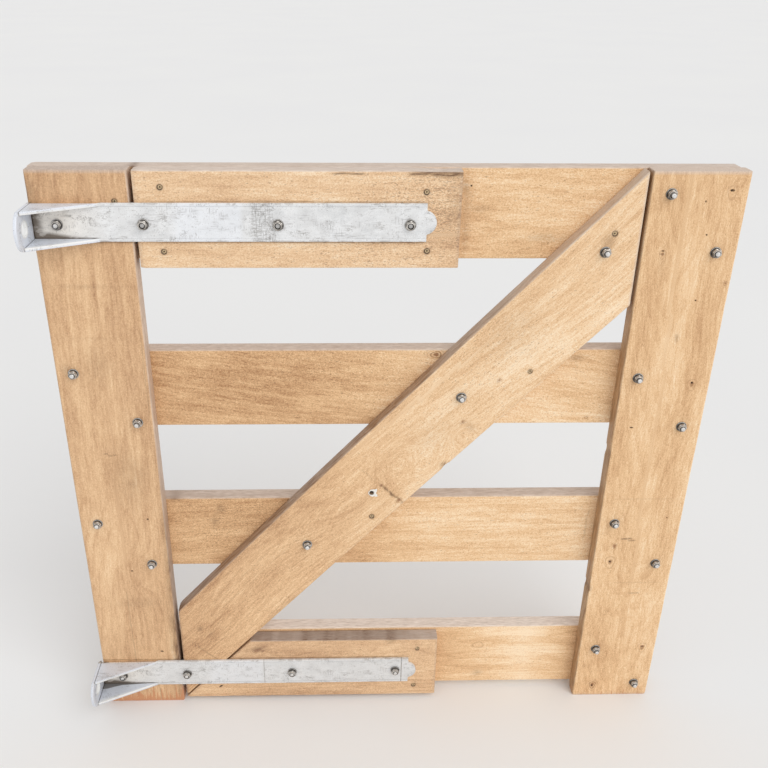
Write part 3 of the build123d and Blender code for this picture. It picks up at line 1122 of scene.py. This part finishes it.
def bare_washer():
    """A thin disc carried round a hole off its centre, its edge swollen by two white lumps. Its hole wall
    and lower outer edge are painted dark as shade.
    """
    turn = np.linspace(-math.pi, math.pi, 64, endpoint=False)
    hole, offset_x, offset_y = 3.9, 1.9, -0.3
    lumps = 3.0 * bell(turn - 0.8, 0.3) + 3.6 * bell(turn + 0.75, 0.28) - 1.2 * bell(turn, 0.25)
    outer = 7.2 + lumps + 0.6 * noise(3, np.cos(turn) * 4 + 5, np.sin(turn) * 4 + 5)
    rows = []
    for share, height in ((0, -0.2), (0, 0.9), (0.15, 1.2), (0.5, 1.35), (0.9, 1.1), (1, 0.5), (1, -0.2)):
        radius = hole + (outer - hole) * share
        x, y = radius * np.cos(turn) + offset_x * share, radius * np.sin(turn) + offset_y * share
        rows.append(np.stack([x, y, np.full(len(turn), height)], axis=1))
    dirt = np.repeat([1.0, 0.6, 0.1, 0.0, 0.0, 0.2, 1.0], len(turn))
    return np.concatenate(rows), grid_faces(len(rows), len(turn), close_rows=True, close_columns=True), dirt


points, faces, dirt = bare_washer()
bare = gathered("bare_washer", [(from_tape(*BARE_PLACE) + facing(-1, points) / 1000, faces, dirt)])

# %% [markdown]
# ## Material helpers
#
# Materials are networks of small steps. A few short functions add a node, feed it and join it, so
# that each recipe below reads as a list.


# %% Colours as eyes judge them
def linear(red, green, blue):
    """A colour as eyes judge it, 0 to 255, turned into the linear share that a shader expects."""
    c = np.array([red, green, blue], float) / 255
    return tuple(np.where(c <= 0.04045, c / 12.92, ((c + 0.055) / 1.055) ** 2.4))


print("a middle grey in linear shares", np.round(linear(188, 188, 188), 3))


# %% Node helpers
class Recipe:
    """A material being mixed. Each method adds one node and returns its useful output."""

    def __init__(self, name):
        self.material = bpy.data.materials.new(name)
        self.material.use_nodes = True
        self.tree = self.material.node_tree

    def add(self, kind, values=(), out=0, **settings):
        """Adds a node, sets its options, and feeds its sockets, which are named or numbered."""
        node = self.tree.nodes.new(kind)
        for key, value in settings.items():
            setattr(node, key, value)
        for key, value in dict(values).items():
            self.feed(node.inputs[key], value)
        return node.outputs[out]

    def feed(self, socket, value):
        if isinstance(value, bpy.types.NodeSocket):
            self.tree.links.new(value, socket)
        else:
            socket.default_value = value

    def attribute(self, name, out="Fac"):
        return self.add("ShaderNodeAttribute", out=out, attribute_name=name)

    def parts(self, vector):
        """A vector's three numbers."""
        return self.add("ShaderNodeSeparateXYZ", {0: vector}).node.outputs

    def noise(self, source, scale, detail=2.0, rough=0.5, offset=(0, 0, 0)):
        """Noise over places that are stretched and moved first."""
        places = self.add("ShaderNodeMapping", {"Vector": source, "Scale": scale, "Location": offset})
        settings = {"Vector": places, "Scale": 1.0, "Detail": detail, "Roughness": rough}
        return self.add("ShaderNodeTexNoise", settings, "Fac")

    def math(self, operation, *values):
        return self.add("ShaderNodeMath", enumerate(values), operation=operation)

    def times(self, first, *others):
        for other in others:
            first = self.math("MULTIPLY", first, other)
        return first

    def rest(self, value):
        """What a share leaves of one."""
        return self.math("SUBTRACT", 1.0, value)

    def between(self, value, low, high, to_low=0.0, to_high=1.0):
        """Eases from to_low to to_high as the value goes from low to high."""
        numbers = enumerate((value, low, high, to_low, to_high))
        return self.add("ShaderNodeMapRange", numbers, interpolation_type="SMOOTHSTEP")

    def by_distance(self, value, spot, zero_at, one_at):
        """Eases from 0 to 1 between two distances of a value from a spot, either way round."""
        return self.between(self.math("ABSOLUTE", self.math("SUBTRACT", value, spot)), zero_at, one_at)

    def blend(self, share, a, b):
        return self.add("ShaderNodeMix", {"Factor": share, 6: a, 7: b}, 2, data_type="RGBA")

    def stain(self, colour, rgb, *shares):
        """Lays a written colour over another, by all its shares multiplied."""
        return self.blend(self.times(*shares), colour, (*linear(*rgb), 1))

    def ramp(self, share, stops):
        colour = self.add("ShaderNodeValToRGB", {"Fac": share}, "Color")
        elements = colour.node.color_ramp.elements
        while len(elements) < len(stops):
            elements.new(0.5)
        for element, (place, rgb) in zip(elements, stops):
            element.position = place
            element.color = (*linear(*rgb), 1)
        return colour

    def bump(self, height, distance, strength):
        settings = {"Height": height, "Distance": distance, "Strength": strength}
        return self.add("ShaderNodeBump", settings, "Normal")

    def finish(self, colour, rough, metallic=0.0, normal=None, specular=0.5):
        sockets = self.tree.nodes["Principled BSDF"].inputs
        self.feed(sockets["Base Color"], colour)
        self.feed(sockets["Roughness"], rough)
        self.feed(sockets["Metallic"], metallic)
        sockets["Specular IOR Level"].default_value = specular
        if normal is not None:
            self.feed(sockets["Normal"], normal)
        return self.material


# %% [markdown]
# ## Planed hardwood
#
# The trunk numbers stored on each board drive everything. Radius over ring width gives the yearly
# rings. The same numbers, stretched far more along than across, give fibres and open pores. The
# wear numbers then mix in brown knots, dirt round fixings, grey weathered edges and damp. Painted
# light goes in with them: the stored tone is partly painted shade, eased edges are lighter as a
# painted highlight, and holes and lines along the straps are dark as painted shade.


# %% Wood material
RING = 0.0052  # width of a yearly ring


def planed_wood():
    """Fibres and rings vary each board's colour, and the wear numbers lay knots, soiling, weather and
    painted shade over it.
    """
    r = Recipe("planed_hardwood")
    trunk = r.attribute("trunk", "Vector")
    radius = r.parts(trunk)[1]
    broad = r.noise(trunk, (3.5, 36, 20), 3.0, 0.55)
    flame = r.noise(trunk, (15, 90, 80), 2.0, 0.6, (2, 2, 5))
    long = r.noise(trunk, (4.5, 330, 300), 2.0, 0.6)
    streaks = r.noise(trunk, (15, 210, 260), 2.0, 0.6)
    short = r.noise(trunk, (60, 520, 600), 2.0, 0.65)
    speckle = r.noise(trunk, (420, 640, 640), 2.0, 0.6)
    mottle = r.noise(trunk, (60, 420, 420), 3.0, 0.65, (3, 1, 7))
    stained = r.noise(trunk, (26, 200, 200), 3.0, 0.65, (5, 3, 2))
    crowding = r.noise(trunk, (30, 140, 120))
    sway = r.noise(trunk, (7.0, 60, 30))

    ring = r.math("FRACT", r.math("MULTIPLY_ADD", radius, 1 / RING, r.times(sway, 1.3)))
    late = r.math("POWER", ring, 3.0)
    # The stored tone carries painted shade, and a painted highlight on eased edges, as well as the wood's
    # own tone.
    tone_and_shade = r.math("SUBTRACT", r.attribute("tone_and_shade"), r.times(late, 0.10))
    shares = ((broad, 0.62), (flame, 0.5), (long, 0.27), (streaks, 0.27), (short, 0.5), (speckle, 0.8))
    for field, share in shares:
        tone_and_shade = r.math("MULTIPLY_ADD", field, share, tone_and_shade)
    tone_and_shade = r.math("SUBTRACT", tone_and_shade, 0.5 * sum(share for _, share in shares) - 0.02)
    rougher = r.times(r.math("SUBTRACT", speckle, 0.5), r.attribute("fleck"))
    tone_and_shade = r.math("MULTIPLY_ADD", rougher, 0.8, tone_and_shade)
    colour = r.ramp(tone_and_shade, [
        (0.0, (168, 122, 82)),
        (0.3, (206, 163, 120)),
        (0.5, (225, 184, 139)),
        (0.7, (240, 202, 157)),
        (1.0, (254, 230, 197)),
    ])
    crowd = r.times(r.attribute("fleck"), r.between(crowding, 0.3, 0.7, 0.5, 1.0))
    pore_field = r.noise(trunk, (240, 760, 760), 1.0, 0.5, (2, 6, 1))
    pores = r.between(r.math("MULTIPLY_ADD", crowd, 0.2, pore_field), 0.72, 0.8)
    colour = r.stain(colour, (124, 88, 60), pores, 0.5)
    knot = r.attribute("knot")
    knot_rings = r.math("ADD", r.times(r.math("SINE", r.times(knot, 26.0)), 0.22), knot)
    colour = r.stain(colour, (140, 92, 56), r.between(knot_rings, 0.25, 1.0, 0.0, 0.85))
    grey = r.ramp(mottle, [(0.3, (198, 182, 170)), (0.7, (242, 228, 217))])
    colour = r.blend(r.times(r.attribute("bleached"), 0.9), colour, grey)
    brown = r.times(r.attribute("browned"), r.between(stained, 0.3, 0.65, 1.15, 0.7))
    colour = r.stain(colour, (136, 101, 70), brown)
    grime_and_shade = r.times(r.attribute("grime_and_shade"), r.between(mottle, 0.25, 0.7, 0.45, 1.1))
    # Dirt, and painted shadow lines along the straps, share this number.
    colour = r.stain(colour, (108, 78, 55), grime_and_shade, 0.75)
    teeth = r.noise(trunk, (9, 300, 300), 3.0, 0.7, (1, 4, 4))
    damp = r.between(r.math("MULTIPLY_ADD", teeth, 9.0, r.attribute("damp")), 4.5, 4.75)
    colour = r.stain(colour, (202, 136, 96), damp, 0.75)
    # Painted shade: holes, slots and screw cones near black.
    colour = r.stain(colour, (46, 30, 20), r.attribute("hole"), 0.94)
    rough = r.between(short, 0.2, 0.8, 0.62, 0.48)
    height = r.math("MULTIPLY_ADD", streaks, 0.5, r.times(short, 0.5))
    height = r.math("MULTIPLY_ADD", pores, -0.8, height)
    return r.finish(colour, rough, 0.0, r.bump(height, 0.00045, 0.45), 0.35)


wood_material = planed_wood()
for piece in boards.values():
    piece.data.materials.append(wood_material)
print("wood nodes", len(wood_material.node_tree.nodes))

# %% [markdown]
# ## Galvanised plate
#
# Hot zinc leaves a pale skin with cloudy patches. Handling adds fine scratches and dull grey
# scuffs, and dirt gathers in the folded corner. The lower fold also gets painted shade, the inner fold
# corners dark lines of it, the web inside the box painted light, and the bright edges are partly
# wear and partly a painted highlight.


# %% Zinc material
def galvanised():
    """Cloudy zinc, then scores, soiling, scratches, painted shade in the folds and bright edges that are
    partly wear and partly a painted highlight, placed by the plate's own lengths.
    """
    r = Recipe("galvanised_plate")
    place, sooty = r.attribute("place", "Vector"), r.attribute("sooty")
    along, depth, high = r.parts(place)
    clouds = r.noise(place, (16, 30, 34), 4.0, 0.6)
    patches = r.noise(place, (70, 90, 110), 3.0, 0.6, (4, 0, 2))
    grit = r.noise(place, (420, 420, 420), 3.0, 0.7)
    bands = r.noise(place, (13, 3, 5), 3.0, 0.6, (6, 1, 4))
    specks = r.noise(place, (640, 640, 640), 1.0, 0.5, (3, 3, 9))
    on_web = r.between(depth, -0.0075, -0.0058)
    on_side = r.rest(on_web)
    # The darker hinge gets a greyer web and sides, and more painted shade in its lower fold.
    lower = r.between(sooty, 0.4, 0.6)

    mixed = r.math("MULTIPLY_ADD", patches, 0.3, r.times(grit, 0.25))
    mixed = r.math("MULTIPLY_ADD", clouds, 0.45, mixed)
    colour = r.ramp(mixed, [(0.36, (208, 209, 210)), (0.5, (233, 234, 235)), (0.62, (251, 252, 253))])
    colour = r.stain(colour, (221, 221, 221), r.between(bands, 0.42, 0.6), 0.5)
    clean = r.times(r.between(along, 0.19, 0.215), r.between(along, 0.306, 0.294))
    colour = r.stain(colour, (243, 247, 254), clean, 0.45)
    colour = r.stain(colour, (210, 208, 205), lower, on_web, 0.35)
    for spot, share in ((0.3035, 0.5), (0.5625, 0.85)):
        score = r.by_distance(along, spot, 0.0014, 0.0004)
        colour = r.stain(colour, (118, 108, 98), score, lower, r.between(grit, 0.35, 0.6, 0.3, 1.0), share)
    by_edge = r.times(r.by_distance(high, 0.0, 0.0235, 0.0285), r.between(patches, 0.5, 0.6))
    colour = r.stain(colour, (160, 152, 144), by_edge, on_web, 0.45)
    # Warm, paler web inside the box: partly the zinc's own warm tint, partly painted light that lifts the
    # shade there.
    colour = r.stain(colour, (252, 240, 222), r.between(along, 0.115, 0.03), on_web, 0.5)
    colour = r.stain(colour, (228, 234, 245), on_side, 0.75)
    colour = r.stain(colour, (196, 200, 208), on_side, sooty, 0.5)
    scuff = r.between(r.times(patches, r.between(clouds, 0.4, 0.65)), 0.36, 0.56)
    colour = r.stain(colour, (150, 147, 143), scuff, r.between(grit, 0.35, 0.7), 0.6)
    colour = r.stain(colour, (120, 110, 100), r.between(specks, 0.66, 0.74), 0.5)

    rubbed = r.times(r.by_distance(along, 0.331, 0.022, 0.012), r.rest(lower))
    scratches = (((22, 200, 420), (1, 8, 3)), ((420, 200, 30), (5, 2, 7)), ((160, 100, 200), (7, 4, 1)))
    for stretch, offset in scratches:
        lines = r.by_distance(r.noise(place, stretch, 1.0, 0.5, offset), 0.5, 0.05, 0.0)
        thick = r.between(r.noise(place, (40, 60, 60), 1.0, 0.5, offset), 0.55, 0.7)
        colour = r.stain(colour, (112, 106, 100), lines, r.math("MAXIMUM", rubbed, thick), 0.45)

    # Dirt beside the end plate, and a wedge along the lower fold that is partly dirt and partly painted
    # shade.
    wedge = r.math("MULTIPLY_ADD", along, 0.17, high)
    soil_and_fold_shade = r.math("MAXIMUM", r.between(along, 0.020, 0.004), r.between(wedge, -0.0075, -0.0150))
    soil_and_fold_shade = r.times(soil_and_fold_shade, r.between(patches, 0.34, 0.5, 0.55, 1.0))
    colour = r.stain(colour, (108, 95, 82), soil_and_fold_shade, on_web, 0.92)
    # Painted shadow on the lower side's inner face near the fold.
    reach = r.between(along, 0.04, 0.0, 0.0065, 0.016)
    reach = r.math("ADD", reach, r.between(along, 0.095, 0.03, 0.0, 0.004))
    inner_fold_shade = r.times(
        r.between(r.math("ADD", depth, reach), 0.0, 0.0015),
        r.between(depth, -0.0045, -0.0058),
        r.between(high, -0.0220, -0.0230),
        r.between(high, -0.0250, -0.0240),
    )
    colour = r.stain(colour, (100, 94, 88), inner_fold_shade, sooty, 0.85)
    # Painted shade in the inner corner of each fold, and a dark joint line where the bar meets the end
    # plate.
    seam = r.times(r.between(along, 0.0018, 0.0006), r.between(along, 0.00005, 0.0002))
    dark_lines = r.math("MAXIMUM", seam, r.attribute("crease"))
    colour = r.stain(colour, (78, 68, 58), dark_lines, r.between(grit, 0.3, 0.6, 0.95, 0.6))
    # Bright edges: partly wear, partly a painted highlight.
    colour = r.stain(colour, (251, 248, 239), r.attribute("worn"), 0.8)
    height = r.math("MULTIPLY_ADD", clouds, 0.6, r.times(grit, 0.12))
    return r.finish(colour, r.between(patches, 0.3, 0.7, 0.42, 0.6), 0.12, r.bump(height, 0.0006, 0.5))


zinc = galvanised()
for piece in bars + end_plates:
    piece.data.materials.append(zinc)
print("zinc nodes", len(zinc.node_tree.nodes))

# %% [markdown]
# ## Bright fixings
#
# Zinc plated nuts reflect more than the plate does. Threads, recesses, gaps under nuts and the
# side away from the light are painted darker as shade, and nut flanks as a dark reflection. Each
# point keeps a number for that, and the material adds soft clouds.


# %% Bolt materials
def plated_steel(piece, name, tint, rough, dirt):
    """A plated finish: dull clouds, then the painted shade that the piece's own numbers hold."""
    r = Recipe(name)
    place = r.add("ShaderNodeTexCoord", out="Object")
    cloud = r.noise(place, (260, 260, 260), 3.0, 0.6)
    fine = r.noise(place, (1500, 1500, 1500), 2.0, 0.6)
    colour = r.stain((*linear(*tint), 1), (104, 94, 84), r.between(cloud, 0.35, 0.7, 0.0, dirt))
    # Painted shade and painted dark reflections, from each point's darkening number.
    colour = r.stain(colour, (52, 45, 39), r.attribute("dirt"), 0.92)
    roughness = r.between(fine, 0.3, 0.7, rough, rough + 0.16)
    piece.data.materials.append(r.finish(colour, roughness, 0.6, r.bump(fine, 0.00012, 0.4)))
    print(name, "on", piece.name)


plated_steel(washers_piece, "washer_steel", (222, 219, 215), 0.38, 0.35)
plated_steel(nuts_piece, "nut_steel", (230, 225, 218), 0.3, 0.35)
plated_steel(ends_piece, "bolt_end_steel", (245, 244, 242), 0.26, 0.3)
plated_steel(heads_piece, "cup_head_steel", (205, 205, 204), 0.28, 0.3)
plated_steel(screws_piece, "screw_steel", (236, 208, 166), 0.45, 0.3)
plated_steel(bare, "worn_washer_steel", (252, 250, 244), 0.5, 0.12)

# %% [markdown]
# ## Studio
#
# The picture is taken from in front and above, so the camera stands about 1.3 m up and looks down.
# The light is one very wide sun from the right and a pale sky, so it falls off nowhere, and
# together they show a colour that faces the front about as it is written. A small lamp would
# give the nuts hard sparks that soft daylight doesn't have.

# %% Floor
FLOOR_REACH = 40.0
BELOW_FOOT = 0.0002


def in_scene(name, data):
    """An object for some data, linked to the scene."""
    thing = bpy.data.objects.new(name, data)
    bpy.context.scene.collection.objects.link(thing)
    return thing


floor_mesh = bpy.data.meshes.new("studio_floor")
height = float(cad_box[0].z) - BELOW_FOOT
corners = [(x * FLOOR_REACH, y * FLOOR_REACH, height) for x, y in ((-1, -1), (1, -1), (1, 1), (-1, 1))]
floor_mesh.from_pydata(corners, [], [(0, 1, 2, 3)])
floor = in_scene("studio_floor", floor_mesh)
paint = Recipe("pale_floor")
soft = paint.noise(paint.add("ShaderNodeTexCoord", out="Object"), (0.8, 0.8, 0.8))
pale = paint.ramp(soft, [(0.0, (237, 237, 238)), (1.0, (241, 241, 240))])
floor_mesh.materials.append(paint.finish(pale, 0.9, specular=0.1))
print("floor at height", round(height, 4))

# %% Sun and sky
SKY_LIGHT = 0.72
SKY_SEEN = 0.82
SUN_TOWARDS = (-0.45, 0.65, -0.62)

world = bpy.data.worlds.new("soft_sky")
bpy.context.scene.world = world
world.use_nodes = True
nodes, links = world.node_tree.nodes, world.node_tree.links
nodes["Background"].inputs["Color"].default_value = (1, 1, 1, 1)
path = nodes.new("ShaderNodeLightPath")
seen = path.outputs["Is Camera Ray"]
for ray in ("Is Glossy Ray", "Is Transmission Ray"):
    either = nodes.new("ShaderNodeMath")
    either.operation = "MAXIMUM"
    links.new(seen, either.inputs[0])
    links.new(path.outputs[ray], either.inputs[1])
    seen = either.outputs[0]
strength = nodes.new("ShaderNodeMapRange")
strength.inputs["To Min"].default_value = SKY_LIGHT
strength.inputs["To Max"].default_value = SKY_SEEN
links.new(seen, strength.inputs["Value"])
links.new(strength.outputs["Result"], nodes["Background"].inputs["Strength"])

sun_data = bpy.data.lights.new("wide_sun", "SUN")
sun_data.energy = 1.15
sun_data.angle = math.radians(50)
sun_data.color = (1.0, 0.99, 0.975)
sun = in_scene("wide_sun", sun_data)
sun.rotation_mode = "QUATERNION"
sun.rotation_quaternion = Vector(SUN_TOWARDS).to_track_quat("-Z", "Y")
print("sky strength", SKY_LIGHT, "sun", sun_data.energy)

# %% Camera
CAMERA_PLACE = (443.1, -1238.0, 1290.7)
SENSOR = 36  # millimetres
LENS_PIXELS = 866.5
FRAME_PIXELS = 768
CENTRE_SHIFT = 22.9
yaw, pitch, roll = 0.02957, 0.45847, 0.00904  # radians
forward = np.array([math.sin(yaw) * math.cos(pitch), math.cos(yaw) * math.cos(pitch), -math.sin(pitch)])
level = np.array([math.cos(yaw), -math.sin(yaw), 0])
upright = np.cross(level, forward)
right = math.cos(roll) * level + math.sin(roll) * upright
up = math.cos(roll) * upright - math.sin(roll) * level
camera_data = bpy.data.cameras.new("photo_camera")
camera = in_scene("photo_camera", camera_data)
camera_data.sensor_width = SENSOR
camera_data.lens = SENSOR * LENS_PIXELS / FRAME_PIXELS
camera_data.shift_x = CENTRE_SHIFT / FRAME_PIXELS
camera_data.clip_start = 0.05
camera_data.clip_end = 200
turn = Matrix((right, up, -forward)).transposed()
camera.matrix_world = Matrix.Translation(Vector(from_tape(*CAMERA_PLACE))) @ turn.to_4x4()
bpy.context.scene.camera = camera
bpy.context.scene.view_settings.view_transform = "Standard"
print("lens", round(camera_data.lens, 2))

# %% Size of the frame
print("cad box", [tuple(round(v, 4) for v in c) for c in cad_box])
